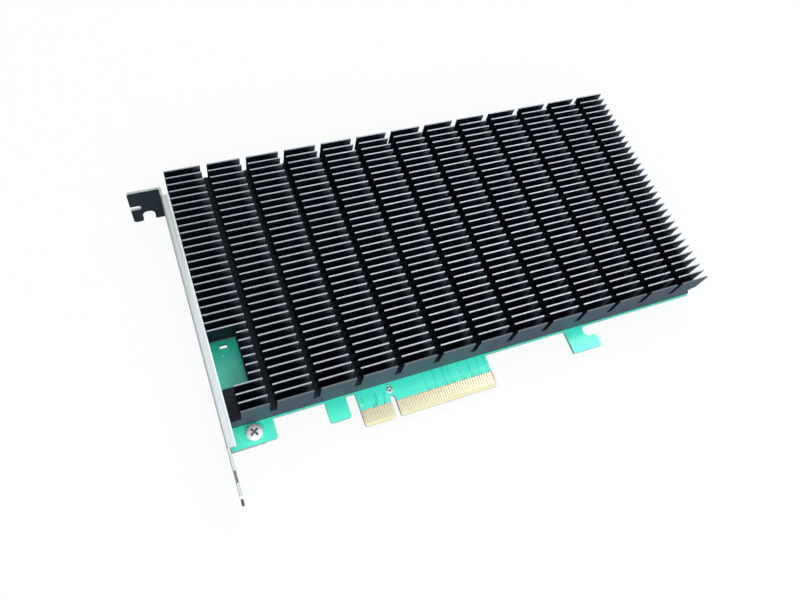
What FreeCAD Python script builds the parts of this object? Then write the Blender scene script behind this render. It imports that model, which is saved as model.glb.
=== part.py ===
import FreeCAD, Part
import math
import os

from FreeCAD import Vector

# NVMe adapter card: an eight-lane edge-connector board with four M.2 seats, covered by one finned
# aluminium heat sink and carried by a full-height slot bracket.
#
# Frame, in millimetres: the origin is the centre of the key notch on the line of the contact tips,
# halfway through the board. +X runs along the card away from the bracket, +Y from the contacts to
# the top edge, +Z out of the component side.

# ---------------------------------------------------------------- driving dimensions
# circuit board
BOARD_T = 1.57
EDGE_RISE = 12.7            # contact tips to the main lower edge
BOARD_TOP_MARGIN = 1.4      # board past the heat sink, upper edge
BOARD_END_MARGIN = 1.15     # board past the heat sink, far end
BOARD_CORNER_R = 1.0
BOARD_CORNER_CUT = 3.2      # chamfer beside the mounting tab
BOARD_HOLE_CLEARANCE = 0.2  # radial, round each bracket screw

# contact tongue
CONTACT_PITCH = 1.0
SHORT_ROW = 11              # contacts between the bracket and the key
LONG_ROW = 38               # contacts beyond the key
KEY_TO_CONTACT = 1.5
TONGUE_MARGIN = 1.1         # last contact centre to the end of the tongue
KEY_W = 1.9
KEY_DEPTH = 8.25
CONTACT_W = 0.7
CONTACT_L = 4.55
CONTACT_SETBACK = 1.2       # contact tips to the start of the plating
CONTACT_T = 0.05
BEVEL_RISE = 1.1
BEVEL_CUT = 0.45
TONGUE_CORNER = 0.5

# tabs below the main edge
SCREW_TAB_W = 15.7
SCREW_TAB_DROP = 7.2
SMALL_TAB_LEFT = -23.9
SMALL_TAB_W = 7.7
SMALL_TAB_DROP = 7.8
HOOK_LEFT = 74.9
HOOK_W = 12.7
HOOK_NECK_W = 7.6
HOOK_DROP = 9.6
HOOK_SLOT_W = 4.5
HOOK_NOSE_R = 1.6

# slot bracket, sheet steel
SHEET_T = 0.86
BEND_R = 0.55               # inside of every fold
BRACKET_FACE = 59.65        # key notch centre to the outer face of the bracket
PLATE_W = 18.42
PLATE_HIGH = 14.9           # long edge on the component side, above the board's middle
TAB_HEIGHT = 103.4          # contact tips to the underside of the mounting tab
TAB_REACH = 11.43           # outer face to the end of the mounting tab
TAB_LOBE = 0.3              # mounting tab past the low edge of the plate
TAB_CORNER_R = 1.2
SCREW_NOTCH_W = 4.42
SCREW_NOTCH_DEPTH = 5.9
SCREW_NOTCH_OFFSET = 5.5    # outer face to the notch centre
KEYING_SLOT_W = 2.2
KEYING_SLOT_DEPTH = 3.9
KEYING_SLOT_DROP = 9.5      # high edge to the slot centre
FLANGE_W = 2.9              # outer face to the flange's free edge
FLANGE_TOP_GAP = 2.9        # tab underside to the flange
SHOULDER_Y = 3.6
NECK_W = 15.0
NECK_L = 7.0
TAPER_L = 3.4
TAIL_W = 10.19
TAIL_L = 6.2
TAIL_CORNER_R = 2.4
LUG_W = 8.0
LUG_L = 14.0
LUG_RELIEF = 0.8
LUG_CORNER_R = 1.5
BOARD_GAP = 0.1             # end of the lugs' inside bend to the board's edge

# screws through the board into the bracket's lugs
BRACKET_SCREW_INSET = 9.95  # bracket face to the screw centre
LOWER_SCREW_Y = 9.45
UPPER_SCREW_Y = 94.0
BRACKET_SCREW_D = 2.9
BRACKET_SCREW_L = 4.0
PAN_HEAD_D = 5.9
PAN_HEAD_H = 2.1
PAN_RIM_H = 1.0             # straight side of the head, below its crown
PAN_CROWN_D = 3.9
RECESS_L = 3.3
RECESS_W = 0.8
RECESS_DEPTH = 1.3
THREAD_CLEARANCE = 0.05     # radial, between a screw and its tapped hole

# heat sink, extruded along X and sawn across
SINK_GAP = 0.2              # bracket flange to the heat sink
SINK_RISE = 0.4             # main board edge to the heat sink's front face
SINK_H = 15.5
FIN_ROWS = 33
FIN_PITCH = 3.0
FIN_T = 0.5
FIN_H = 8.0
FIN_COLUMNS = 13
COLUMN_PITCH = 14.909
CROSS_CUT_W = 2.46
CROSS_CUT_DEPTH = 8.4
FIRST_COLUMN_EXTRA = 0.75
WEB_T = 2.0                 # metal between the fin floor and the pocket
RIM_W = 5.0
ROWS_BELOW_WINDOW = 4       # fin rows between the window and the contacts' side
WINDOW_ROWS = 6             # fin rows cut short by the window
WINDOW_W = 9.15
WINDOW_LEDGE = 0.15
WINDOW_SILL = 2.2
SHELF_W = 3.65              # bare base beside the bracket, below the window
COVE_R = 2.5                # rounded channel along the far end, under the fins

# lane switch and its path to the heat sink
CHIP_X = 13.9
CHIP_SIZE = 27.0
CHIP_FRONT_GAP = 2.5
CHIP_BASE_H = 1.2
CHIP_LID_H = 1.2
CHIP_LID_MARGIN = 2.0
CHIP_PAD_T = 0.8
CHIP_PAD_MARGIN = 1.0       # lid left bare round the pad

# M.2 seats
M2_COLUMNS = 2
M2_ROWS = 2
M2_ROW_PITCH = 25.0
M2_LEFT_GAP = 12.55         # heat sink's end to the first socket
M2_BACK_GAP = 1.5
M2_MODULE_W = 22.0
M2_END_GAP = 3.3            # standoff centre to the end of its bay
SOCKET_D = 8.0
SOCKET_H = 4.2
SOCKET_CHAMFER = 0.6
SOCKET_MOUTH_H = 1.1
SOCKET_MOUTH_Z = 1.75
SOCKET_MOUTH_DEPTH = 5.5
SOCKET_KEY_W = 1.0
SOCKET_KEY_OFFSET = 5.6
STANDOFF_W = 5.0            # across the flats
STANDOFF_H = 2.5
STANDOFF_BORE = 2.0
SSD_PAD_W = 18.0
SSD_PAD_INSET = 5.0         # socket mouth and standoff centre to the pad
SSD_PAD_T = 1.5

# small parts on the board
INDUCTOR_SIZE = 7.0
INDUCTOR_H = 3.0
INDUCTOR_X = -36.0
INDUCTOR_PITCH = 11.0
INDUCTORS = 3
BULK_L = 7.3
BULK_W = 4.3
BULK_H = 2.9
POWER_ROW_GAP = 3.0
REGULATOR_L = 6.0
REGULATOR_W = 5.0
REGULATOR_H = 1.0
CERAMIC_L = 2.0
CERAMIC_W = 1.25
CERAMIC_H = 0.9
CERAMIC_PITCH = 3.0
CERAMICS_PER_SIDE = 7
CERAMIC_GAP = 1.2
SUPPORT_X_GAP = 8.0         # lane switch to the clock and memory chips
CLOCK_SIZE = 5.0
CLOCK_H = 0.9
CRYSTAL_L = 3.2
CRYSTAL_W = 2.5
CRYSTAL_H = 0.8
FLASH_L = 4.9
FLASH_W = 3.9
FLASH_H = 1.5
FLASH_LEG_PITCH = 1.27
FLASH_LEG_W = 0.4
FLASH_LEG_REACH = 1.0
FLASH_LEG_TUCK = 0.5
FLASH_LEGS_PER_SIDE = 4
SUPPORT_PITCH = 9.0
LED_L = 3.0
LED_W = 1.4
LED_H = 0.8
LED_INSET = 4.6             # heat sink's end to the light's centre

# ---------------------------------------------------------------- derived places
TOP = BOARD_T / 2
BOTTOM = -BOARD_T / 2

BRACKET_OUTER = -BRACKET_FACE
BRACKET_INNER = BRACKET_OUTER + SHEET_T
PLATE_LOW = PLATE_HIGH - PLATE_W
PLATE_MIDDLE = (PLATE_HIGH + PLATE_LOW) / 2
TAB_TOP = TAB_HEIGHT + SHEET_T
LUG_LOW = BOTTOM - SHEET_T
BOARD_LEFT = BRACKET_INNER + BEND_R + BOARD_GAP
BRACKET_SCREW_X = BRACKET_OUTER + BRACKET_SCREW_INSET

SINK_LEFT = BRACKET_OUTER + FLANGE_W + SINK_GAP
SINK_RIGHT = SINK_LEFT + FIRST_COLUMN_EXTRA + FIN_COLUMNS * COLUMN_PITCH - CROSS_CUT_W
SINK_FRONT = EDGE_RISE + SINK_RISE
SINK_BACK = SINK_FRONT + (FIN_ROWS - 1) * FIN_PITCH + FIN_T
SINK_TOP = TOP + SINK_H
FIN_FLOOR = SINK_TOP - FIN_H
CEILING = FIN_FLOOR - WEB_T
POCKET_LEFT = SINK_LEFT     # open beside the bracket
POCKET_RIGHT = SINK_RIGHT - RIM_W
POCKET_FRONT = SINK_FRONT + RIM_W
POCKET_BACK = SINK_BACK - RIM_W
WINDOW_SILL_ROW = FIN_ROWS - ROWS_BELOW_WINDOW
WINDOW_HEAD_ROW = WINDOW_SILL_ROW - WINDOW_ROWS - 1
M2_BAY_L = (POCKET_RIGHT - POCKET_LEFT - M2_LEFT_GAP) / M2_COLUMNS
M2_REACH = M2_BAY_L - SOCKET_D - M2_END_GAP

BOARD_RIGHT = SINK_RIGHT + BOARD_END_MARGIN
BOARD_TOP = SINK_BACK + BOARD_TOP_MARGIN
TONGUE_LEFT = -KEY_TO_CONTACT - (SHORT_ROW - 1) * CONTACT_PITCH - TONGUE_MARGIN
TONGUE_RIGHT = KEY_TO_CONTACT + (LONG_ROW - 1) * CONTACT_PITCH + TONGUE_MARGIN

CHIP_Y = POCKET_FRONT + CHIP_FRONT_GAP + CHIP_SIZE / 2
CHIP_TOP = TOP + CHIP_BASE_H + CHIP_LID_H
POWER_Y = CHIP_Y - INDUCTOR_SIZE / 2


# ---------------------------------------------------------------- shape helpers
def in_plane(plane, a, b, height):
    """Point a, b of a drawing plane, raised by height along the plane's normal."""
    if plane == "XY":
        return Vector(a, b, height)
    if plane == "XZ":
        return Vector(a, height, b)
    return Vector(height, a, b)


def prism(plane, start, length, corners):
    """Solid drawn in a plane as (a, b, radius) corners and pushed along its normal from start."""
    points = [in_plane(plane, a, b, start) for a, b, _ in corners]
    arcs = []
    for i, (_, _, radius) in enumerate(corners):
        point = points[i]
        back = points[i - 1] - point
        ahead = points[(i + 1) % len(points)] - point
        if radius == 0:
            arcs.append((point, None, point))
            continue
        half = back.getAngle(ahead) / 2
        reach = min(radius / math.tan(half), 0.49 * back.Length, 0.49 * ahead.Length)
        back.normalize()
        ahead.normalize()
        middle = back + ahead
        middle.normalize()
        turn = reach * math.tan(half)
        crown = point + middle * (turn / math.sin(half) - turn)
        arcs.append((point + back * reach, crown, point + ahead * reach))
    edges = []
    for i, (first, crown, last) in enumerate(arcs):
        if crown is not None:
            edges.append(Part.Arc(first, crown, last).toShape())
        following = arcs[(i + 1) % len(arcs)][0]
        if last.distanceToPoint(following) > 1e-6:
            edges.append(Part.LineSegment(last, following).toShape())
    face = Part.Face(Part.Wire(edges))
    return face.extrude(in_plane(plane, 0, 0, length))


def rectangle(low_a, low_b, high_a, high_b, radius=0):
    """Corners of a rectangle with one radius."""
    return [(low_a, low_b, radius), (high_a, low_b, radius), (high_a, high_b, radius), (low_a, high_b, radius)]


def centred_block(x, y, z, size_x, size_y, height, radius=0):
    """Block standing on height z with its footprint centred on x, y."""
    corners = rectangle(x - size_x / 2, y - size_y / 2, x + size_x / 2, y + size_y / 2, radius)
    return prism("XY", z, height, corners)


def upright(x, y, z, diameter, height):
    """Cylinder along Z standing on height z."""
    return Part.makeCylinder(diameter / 2, height, Vector(x, y, z))


def folded(plane, start, length, corner, leg_a, leg_b):
    """Sheet folded to a right angle: its outer corner and its two signed outer leg lengths."""
    a, b = corner
    step_a = math.copysign(SHEET_T, leg_a)
    step_b = math.copysign(SHEET_T, leg_b)
    section = [
        (a + leg_a, b, 0),
        (a, b, BEND_R + SHEET_T),
        (a, b + leg_b, 0),
        (a + step_a, b + leg_b, 0),
        (a + step_a, b + step_b, BEND_R),
        (a + leg_a, b + step_b, 0),
    ]
    return prism(plane, start, length, section)


def group(solids):
    """Several separate pieces of one kind."""
    return Part.makeCompound(solids)


# ---------------------------------------------------------------- places of repeated parts
def row_y(row):
    """Middle of a fin row, counted from the card's top edge."""
    return SINK_BACK - FIN_T / 2 - row * FIN_PITCH


def contact_xs():
    """Contact centres on both sides of the key."""
    short = [-KEY_TO_CONTACT - i * CONTACT_PITCH for i in range(SHORT_ROW)]
    long = [KEY_TO_CONTACT + i * CONTACT_PITCH for i in range(LONG_ROW)]
    return short + long


def bracket_screw_places():
    """Centres of the two screws that hold the bracket."""
    return [(BRACKET_SCREW_X, LOWER_SCREW_Y), (BRACKET_SCREW_X, UPPER_SCREW_Y)]


def m2_seats():
    """Socket end and middle line of every M.2 seat."""
    first_x = POCKET_LEFT + M2_LEFT_GAP
    first_y = POCKET_BACK - M2_BACK_GAP - M2_MODULE_W / 2
    return [
        (first_x + column * M2_BAY_L, first_y - row * M2_ROW_PITCH)
        for row in range(M2_ROWS)
        for column in range(M2_COLUMNS)
    ]


# ---------------------------------------------------------------- circuit board
def board_outline():
    """Corners of the board, clockwise from the lower end of the bracket edge."""
    screw_tab_right = BOARD_LEFT + SCREW_TAB_W
    screw_tab_low = EDGE_RISE - SCREW_TAB_DROP
    small_tab_right = SMALL_TAB_LEFT + SMALL_TAB_W
    small_tab_low = EDGE_RISE - SMALL_TAB_DROP
    neck = HOOK_LEFT + HOOK_NECK_W
    nose = HOOK_LEFT + HOOK_W
    hook_low = EDGE_RISE - HOOK_DROP
    arm_top = EDGE_RISE - HOOK_SLOT_W
    return [
        (BOARD_LEFT, screw_tab_low, 0),
        (BOARD_LEFT, BOARD_TOP - BOARD_CORNER_CUT, 0),
        (BOARD_LEFT + BOARD_CORNER_CUT, BOARD_TOP, 0),
        (BOARD_RIGHT, BOARD_TOP, BOARD_CORNER_R),
        (BOARD_RIGHT, EDGE_RISE, BOARD_CORNER_R),
        (neck, EDGE_RISE, HOOK_SLOT_W / 2),
        (neck, arm_top, HOOK_SLOT_W / 2),
        (nose, arm_top, HOOK_NOSE_R),
        (nose, hook_low, BOARD_CORNER_R / 2),
        (HOOK_LEFT, hook_low, BOARD_CORNER_R / 2),
        (HOOK_LEFT, EDGE_RISE, 0),
        (TONGUE_RIGHT, EDGE_RISE, 0),
        (TONGUE_RIGHT, TONGUE_CORNER, 0),
        (TONGUE_RIGHT - TONGUE_CORNER, 0, 0),
        (KEY_W / 2 + TONGUE_CORNER, 0, 0),
        (KEY_W / 2, TONGUE_CORNER, 0),
        (KEY_W / 2, KEY_DEPTH, KEY_W / 2),
        (-KEY_W / 2, KEY_DEPTH, KEY_W / 2),
        (-KEY_W / 2, TONGUE_CORNER, 0),
        (-KEY_W / 2 - TONGUE_CORNER, 0, 0),
        (TONGUE_LEFT + TONGUE_CORNER, 0, 0),
        (TONGUE_LEFT, TONGUE_CORNER, 0),
        (TONGUE_LEFT, EDGE_RISE, 0),
        (small_tab_right, EDGE_RISE, 0),
        (small_tab_right, small_tab_low, BOARD_CORNER_R),
        (SMALL_TAB_LEFT, small_tab_low, BOARD_CORNER_R),
        (SMALL_TAB_LEFT, EDGE_RISE, 0),
        (screw_tab_right, EDGE_RISE, 0),
        (screw_tab_right, screw_tab_low, BOARD_CORNER_R),
    ]


def circuit_board():
    """Board with its bevelled tongue and screw holes."""
    board = prism("XY", BOTTOM, BOARD_T, board_outline())
    cuts = []
    for side in (1, -1):
        face = side * BOARD_T / 2
        wedge = [(0, face - side * BEVEL_CUT, 0), (0, face, 0), (BEVEL_RISE, face, 0)]
        cuts.append(prism("YZ", TONGUE_LEFT, TONGUE_RIGHT - TONGUE_LEFT, wedge))
    for x, y in bracket_screw_places():
        cuts.append(upright(x, y, BOTTOM, BRACKET_SCREW_D + 2 * BOARD_HOLE_CLEARANCE, BOARD_T))
    return board.cut(cuts)


def contacts(base):
    """One face's row of plated contacts, standing on height base."""
    middle = CONTACT_SETBACK + CONTACT_L / 2
    return group([centred_block(x, middle, base, CONTACT_W, CONTACT_L, CONTACT_T) for x in contact_xs()])


# ---------------------------------------------------------------- slot bracket
def plate_outline():
    """Plate, neck and tail in the YZ plane, with a relief notch at each lug."""
    neck = SHOULDER_Y - NECK_L
    taper = neck - TAPER_L
    tip = taper - TAIL_L
    return [
        (TAB_HEIGHT - BEND_R, PLATE_HIGH, 0),
        (SHOULDER_Y, PLATE_HIGH, 0),
        (SHOULDER_Y, PLATE_MIDDLE + NECK_W / 2, 0),
        (neck, PLATE_MIDDLE + NECK_W / 2, 0),
        (taper, PLATE_MIDDLE + TAIL_W / 2, 0),
        (tip, PLATE_MIDDLE + TAIL_W / 2, TAIL_CORNER_R),
        (tip, PLATE_MIDDLE - TAIL_W / 2, TAIL_CORNER_R),
        (taper, PLATE_MIDDLE - TAIL_W / 2, 0),
        (neck, PLATE_MIDDLE - NECK_W / 2, 0),
        (SHOULDER_Y, PLATE_MIDDLE - NECK_W / 2, 0),
        (SHOULDER_Y, PLATE_LOW, 0),
        (TAB_HEIGHT - BEND_R, PLATE_LOW, 0),
    ]


def mounting_tab():
    """Tab folded out over the slot opening, with its screw notch and keying slot."""
    low = PLATE_LOW - TAB_LOBE
    far = BRACKET_OUTER - TAB_REACH
    fold = folded("XY", low, PLATE_HIGH - low, (BRACKET_INNER, TAB_TOP), far - BRACKET_INNER, TAB_HEIGHT - BEND_R - TAB_TOP)
    notch_x = BRACKET_OUTER - SCREW_NOTCH_OFFSET
    half_notch = SCREW_NOTCH_W / 2
    notch_top = low + SCREW_NOTCH_DEPTH
    slot_z = PLATE_HIGH - KEYING_SLOT_DROP
    half_slot = KEYING_SLOT_W / 2
    outline = [
        (BRACKET_INNER, PLATE_HIGH, 0),
        (far, PLATE_HIGH, TAB_CORNER_R),
        (far, slot_z + half_slot, 0),
        (far + KEYING_SLOT_DEPTH, slot_z + half_slot, half_slot),
        (far + KEYING_SLOT_DEPTH, slot_z - half_slot, half_slot),
        (far, slot_z - half_slot, 0),
        (far, low, TAB_CORNER_R),
        (notch_x - half_notch, low, TAB_CORNER_R),
        (notch_x - half_notch, notch_top, half_notch),
        (notch_x + half_notch, notch_top, half_notch),
        (notch_x + half_notch, PLATE_LOW, 0),
        (BRACKET_INNER, PLATE_LOW, 0),
    ]
    return fold.common(prism("XZ", TAB_HEIGHT - 2 * BEND_R, TAB_TOP, outline))


def lug(y):
    """Lug folded under the board, with the tapped hole of its screw."""
    far = BRACKET_OUTER + LUG_L
    fold = folded("XZ", y - LUG_W / 2, LUG_W, (BRACKET_OUTER, LUG_LOW), LUG_L, 2 * SHEET_T + BEND_R)
    outline = [
        (BRACKET_OUTER, y - LUG_W / 2, 0),
        (far, y - LUG_W / 2, LUG_CORNER_R),
        (far, y + LUG_W / 2, LUG_CORNER_R),
        (BRACKET_OUTER, y + LUG_W / 2, 0),
    ]
    body = fold.common(prism("XY", LUG_LOW, PLATE_W, outline))
    hole = upright(BRACKET_SCREW_X, y, LUG_LOW, BRACKET_SCREW_D + 2 * THREAD_CLEARANCE, SHEET_T)
    return body.cut(hole)


def io_bracket():
    """Plate, folded stiffening flange, mounting tab and two lugs, all one sheet."""
    plate = prism("YZ", BRACKET_OUTER, SHEET_T, plate_outline())
    fold_zone = SHEET_T + BEND_R
    flange_top = TAB_HEIGHT - FLANGE_TOP_GAP
    flange_l = flange_top - SHOULDER_Y
    cuts = [
        Part.makeBox(SHEET_T, flange_l, fold_zone, Vector(BRACKET_OUTER, SHOULDER_Y, PLATE_HIGH - fold_zone)),
    ]
    pieces = [
        folded("XZ", SHOULDER_Y, flange_l, (BRACKET_OUTER, PLATE_HIGH), FLANGE_W, -fold_zone),
        mounting_tab(),
    ]
    for _, y in bracket_screw_places():
        width = LUG_W + 2 * LUG_RELIEF
        height = LUG_LOW + 2 * SHEET_T + BEND_R - PLATE_LOW
        cuts.append(Part.makeBox(SHEET_T, width, height, Vector(BRACKET_OUTER, y - width / 2, PLATE_LOW)))
        pieces.append(lug(y))
    return plate.cut(cuts).fuse(pieces).removeSplitter()


def bracket_screw(y):
    """Pan-head screw with a cross recess, through the board into a lug."""
    x = BRACKET_SCREW_X
    shank = upright(x, y, TOP - BRACKET_SCREW_L, BRACKET_SCREW_D, BRACKET_SCREW_L)
    rim = upright(x, y, TOP, PAN_HEAD_D, PAN_RIM_H)
    crown = Part.makeCone(PAN_HEAD_D / 2, PAN_CROWN_D / 2, PAN_HEAD_H - PAN_RIM_H, Vector(x, y, TOP + PAN_RIM_H))
    floor = TOP + PAN_HEAD_H - RECESS_DEPTH
    cross = [
        centred_block(x, y, floor, RECESS_L, RECESS_W, RECESS_DEPTH),
        centred_block(x, y, floor, RECESS_W, RECESS_L, RECESS_DEPTH),
    ]
    return shank.fuse([rim, crown]).cut(cross).removeSplitter()


# ---------------------------------------------------------------- heat sink
def fin_comb():
    """Section of the extrusion in the YZ plane: base below, one tooth for each fin row."""
    corners = [(SINK_FRONT, TOP, 0)]
    for row in range(FIN_ROWS - 1, -1, -1):
        near = row_y(row) - FIN_T / 2
        far = row_y(row) + FIN_T / 2
        corners.append((near, SINK_TOP, 0))
        corners.append((far, SINK_TOP, 0))
        if row > 0:
            corners.append((far, FIN_FLOOR, 0))
            corners.append((row_y(row - 1) - FIN_T / 2, FIN_FLOOR, 0))
    corners.append((SINK_BACK, TOP, 0))
    return corners


def cross_cuts():
    """Saw cuts that part the fins into columns."""
    depth = SINK_BACK - SINK_FRONT
    first = SINK_LEFT + FIRST_COLUMN_EXTRA + COLUMN_PITCH - CROSS_CUT_W
    return [
        Part.makeBox(
            CROSS_CUT_W,
            depth,
            CROSS_CUT_DEPTH,
            Vector(first + i * COLUMN_PITCH, SINK_FRONT, SINK_TOP - CROSS_CUT_DEPTH),
        )
        for i in range(FIN_COLUMNS - 1)
    ]


def window_cuts():
    """Window over the status light, and the bare shelf below it beside the bracket."""
    low = row_y(WINDOW_SILL_ROW) + FIN_T / 2 + WINDOW_SILL
    high = row_y(WINDOW_HEAD_ROW) - FIN_T / 2 - WINDOW_LEDGE
    fin_low = row_y(WINDOW_SILL_ROW) + FIN_PITCH / 2
    fin_high = row_y(WINDOW_HEAD_ROW) - FIN_T / 2
    shelf_top = row_y(WINDOW_SILL_ROW) + FIN_T / 2
    return [
        Part.makeBox(WINDOW_W, high - low, SINK_H, Vector(SINK_LEFT, low, TOP)),
        Part.makeBox(WINDOW_W, fin_high - fin_low, FIN_H, Vector(SINK_LEFT, fin_low, FIN_FLOOR)),
        Part.makeBox(SHELF_W, shelf_top - SINK_FRONT, FIN_H, Vector(SINK_LEFT, SINK_FRONT, FIN_FLOOR)),
    ]


def heat_sink():
    """Extruded comb, sawn across and pocketed below."""
    length = SINK_RIGHT - SINK_LEFT
    body = prism("YZ", SINK_LEFT, length, fin_comb())
    pocket = prism(
        "XY",
        TOP,
        CEILING - TOP,
        rectangle(POCKET_LEFT, POCKET_FRONT, POCKET_RIGHT, POCKET_BACK),
    )
    pad_size = CHIP_SIZE - 2 * CHIP_LID_MARGIN
    boss_low = CHIP_TOP + CHIP_PAD_T
    boss = centred_block(CHIP_X, CHIP_Y, boss_low, pad_size, pad_size, CEILING - boss_low)
    cuts = [pocket.cut(boss)]
    cuts += cross_cuts()
    cuts += window_cuts()
    cove = Part.makeCylinder(
        COVE_R,
        SINK_BACK - SINK_FRONT,
        Vector(SINK_RIGHT, SINK_FRONT, (FIN_FLOOR + TOP) / 2),
        Vector(0, 1, 0),
    )
    cuts.append(cove)
    return body.cut(cuts)


# ---------------------------------------------------------------- lane switch
def switch_chip():
    """Square package with a stepped metal lid."""
    lid = CHIP_SIZE - 2 * CHIP_LID_MARGIN
    base = centred_block(CHIP_X, CHIP_Y, TOP, CHIP_SIZE, CHIP_SIZE, CHIP_BASE_H)
    return base.fuse(centred_block(CHIP_X, CHIP_Y, TOP + CHIP_BASE_H, lid, lid, CHIP_LID_H))


def switch_thermal_pad():
    """Pad between the lid and the heat sink's boss."""
    size = CHIP_SIZE - 2 * CHIP_LID_MARGIN - 2 * CHIP_PAD_MARGIN
    return centred_block(CHIP_X, CHIP_Y, CHIP_TOP, size, size, CHIP_PAD_T)


# ---------------------------------------------------------------- M.2 seats
def m2_socket(x, y):
    """Socket housing with its mouth towards +X and one key rib across the mouth."""
    mouth_low = TOP + SOCKET_MOUTH_Z
    mouth_high = mouth_low + SOCKET_MOUTH_H
    end = x + SOCKET_D
    section = [
        (x, TOP, 0),
        (end, TOP, 0),
        (end, mouth_low, 0),
        (end - SOCKET_MOUTH_DEPTH, mouth_low, 0),
        (end - SOCKET_MOUTH_DEPTH, mouth_high, 0),
        (end - SOCKET_CHAMFER, mouth_high, 0),
        (end, mouth_high + SOCKET_CHAMFER, 0),
        (end, TOP + SOCKET_H, 0),
        (x + SOCKET_CHAMFER, TOP + SOCKET_H, 0),
        (x, TOP + SOCKET_H - SOCKET_CHAMFER, 0),
    ]
    body = prism("XZ", y - M2_MODULE_W / 2, M2_MODULE_W, section)
    rib = Part.makeBox(
        SOCKET_MOUTH_DEPTH - SOCKET_CHAMFER,
        SOCKET_KEY_W,
        SOCKET_MOUTH_H,
        Vector(end - SOCKET_MOUTH_DEPTH, y - SOCKET_KEY_OFFSET, mouth_low),
    )
    return body.fuse(rib).removeSplitter()


def m2_standoff(x, y):
    """Hexagonal tapped standoff soldered to the board."""
    middle = x + SOCKET_D + M2_REACH
    corner = STANDOFF_W / 2 / math.cos(math.pi / 6)
    outline = [
        (middle + corner * math.cos(i * math.pi / 3), y + corner * math.sin(i * math.pi / 3), 0)
        for i in range(6)
    ]
    body = prism("XY", TOP, STANDOFF_H, outline)
    return body.cut(upright(middle, y, TOP, STANDOFF_BORE, STANDOFF_H))


def ssd_thermal_pad(x, y):
    """Pad stuck to the pocket's ceiling over a module's chips."""
    middle = x + SOCKET_D + M2_REACH / 2
    length = M2_REACH - 2 * SSD_PAD_INSET
    return centred_block(middle, y, CEILING - SSD_PAD_T, length, SSD_PAD_W, SSD_PAD_T)


# ---------------------------------------------------------------- small parts
def inductors():
    """Row of moulded power inductors."""
    return group([
        centred_block(INDUCTOR_X + i * INDUCTOR_PITCH, POWER_Y, TOP, INDUCTOR_SIZE, INDUCTOR_SIZE, INDUCTOR_H)
        for i in range(INDUCTORS)
    ])


def bulk_capacitors():
    """Moulded block capacitors, one above each inductor."""
    y = POWER_Y + INDUCTOR_SIZE / 2 + POWER_ROW_GAP + BULK_W / 2
    return group([
        centred_block(INDUCTOR_X + i * INDUCTOR_PITCH, y, TOP, BULK_L, BULK_W, BULK_H)
        for i in range(INDUCTORS)
    ])


def voltage_regulators():
    """Flat power-stage chips, one below each inductor."""
    y = POWER_Y - INDUCTOR_SIZE / 2 - REGULATOR_W / 2 - CERAMIC_GAP
    return group([
        centred_block(INDUCTOR_X + i * INDUCTOR_PITCH, y, TOP, REGULATOR_L, REGULATOR_W, REGULATOR_H)
        for i in range(INDUCTORS)
    ])


def ceramic_capacitors(base, rows):
    """Rows of chip capacitors beside the lane switch, standing on height base."""
    first = CHIP_Y - (CERAMICS_PER_SIDE - 1) * CERAMIC_PITCH / 2
    return group([
        centred_block(x, first + i * CERAMIC_PITCH, base, CERAMIC_L, CERAMIC_W, CERAMIC_H)
        for x in rows
        for i in range(CERAMICS_PER_SIDE)
    ])


def support_place(step):
    """Place of a small chip in the column beyond the lane switch."""
    return CHIP_X + CHIP_SIZE / 2 + SUPPORT_X_GAP, CHIP_Y - CHIP_SIZE / 2 + CLOCK_SIZE / 2 + step * SUPPORT_PITCH


def flash_chip():
    """Settings memory in a small-outline package with bent legs."""
    x, y = support_place(2)
    lift = FLASH_H / 10
    body = centred_block(x, y, TOP + lift, FLASH_W, FLASH_L, FLASH_H - lift)
    legs = []
    first = y - (FLASH_LEGS_PER_SIDE - 1) * FLASH_LEG_PITCH / 2
    for i in range(FLASH_LEGS_PER_SIDE):
        reach = FLASH_W + 2 * FLASH_LEG_REACH
        leg = centred_block(x, first + i * FLASH_LEG_PITCH, TOP, reach, FLASH_LEG_W, FLASH_H / 2)
        gap = FLASH_W - 2 * FLASH_LEG_TUCK
        under = centred_block(x, first + i * FLASH_LEG_PITCH, TOP, gap, FLASH_LEG_W, lift)
        legs.append(leg.cut(under))
    return body.fuse(legs).removeSplitter()


def clock_generator():
    """Flat square clock chip."""
    x, y = support_place(0)
    return centred_block(x, y, TOP, CLOCK_SIZE, CLOCK_SIZE, CLOCK_H)


def crystal():
    """Metal-lidded crystal beside the clock chip."""
    x, y = support_place(1)
    return centred_block(x, y, TOP, CRYSTAL_L, CRYSTAL_W, CRYSTAL_H)


def status_led():
    """Light in the heat sink's window."""
    y = row_y(WINDOW_HEAD_ROW) - FIN_T / 2 - LED_W / 2
    return centred_block(SINK_LEFT + LED_INSET, y, TOP, LED_L, LED_W, LED_H)


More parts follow.
